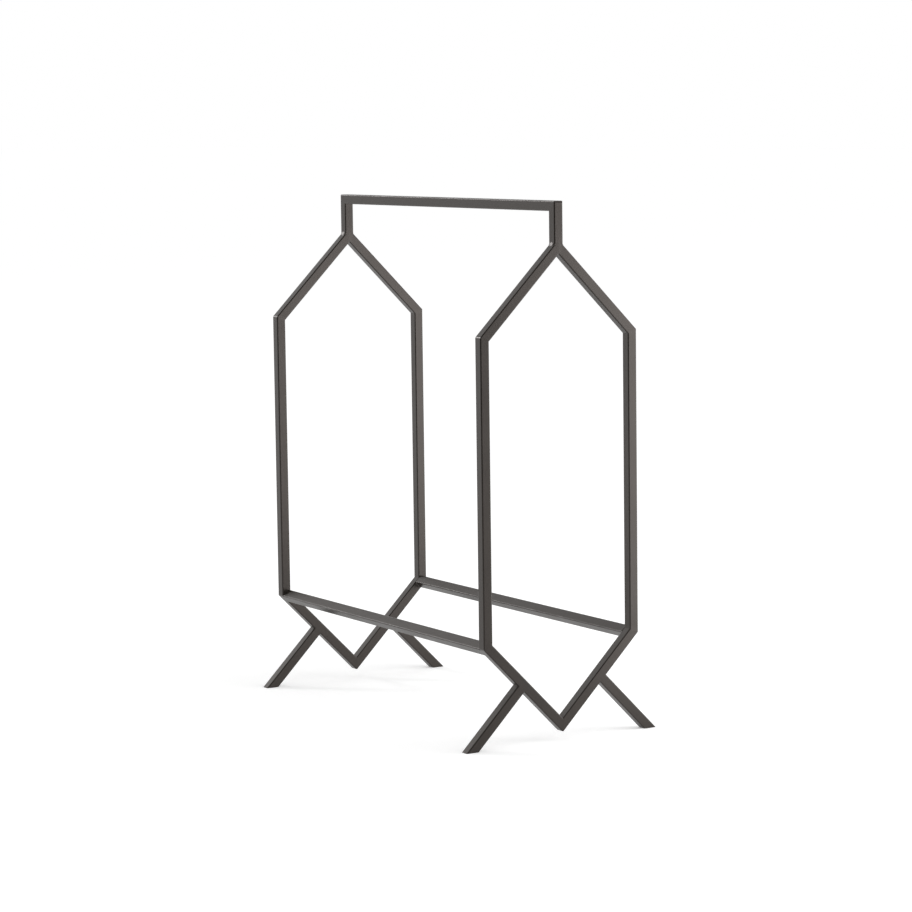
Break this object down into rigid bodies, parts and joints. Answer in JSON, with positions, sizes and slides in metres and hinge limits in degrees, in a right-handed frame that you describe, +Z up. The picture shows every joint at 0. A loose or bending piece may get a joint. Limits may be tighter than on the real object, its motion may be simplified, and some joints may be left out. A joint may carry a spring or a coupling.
{
  "type": "record storage stand",
  "caption": "Welded square-tube stand with two pointed six-sided frames, diamond-set rails for a row of records, a carrying handle and splayed legs.",
  "frame": {"origin": "on the floor, midway between the four feet", "axes": "+Z up, -Y towards the front frame, +X to the right when the front frame is seen from the front"},
  "size_m": [0.2218, 0.416, 0.525],
  "materials": {
    "coated_tube": "satin powder coat with a fine texture, black",
    "coated_cap": "satin powder coat with a fine texture, black",
    "coated_weld": "satin powder coat over a small fillet weld, black"
  },
  "bodies": {
    "root": {"front_left_upright": "coated_tube", "front_right_upright": "coated_tube", "front_upper_left_diagonal": "coated_tube", "front_upper_right_diagonal": "coated_tube", "front_lower_left_diagonal": "coated_tube", "front_lower_right_diagonal": "coated_tube", "rear_left_upright": "coated_tube", "rear_right_upright": "coated_tube", "rear_upper_left_diagonal": "coated_tube", "rear_upper_right_diagonal": "coated_tube", "rear_lower_left_diagonal": "coated_tube", "rear_lower_right_diagonal": "coated_tube", "front_handle_post": "coated_tube", "rear_handle_post": "coated_tube", "handle_bar": "coated_tube", "left_rail": "coated_tube", "right_rail": "coated_tube", "front_left_leg": "coated_tube", "front_right_leg": "coated_tube", "rear_left_leg": "coated_tube", "rear_right_leg": "coated_tube", "front_left_foot_cap": "coated_cap", "front_right_foot_cap": "coated_cap", "rear_left_foot_cap": "coated_cap", "rear_right_foot_cap": "coated_cap", "handle_post_welds": "coated_weld", "rail_welds": "coated_weld", "leg_welds": "coated_weld"}
  },
  "joints": []
}
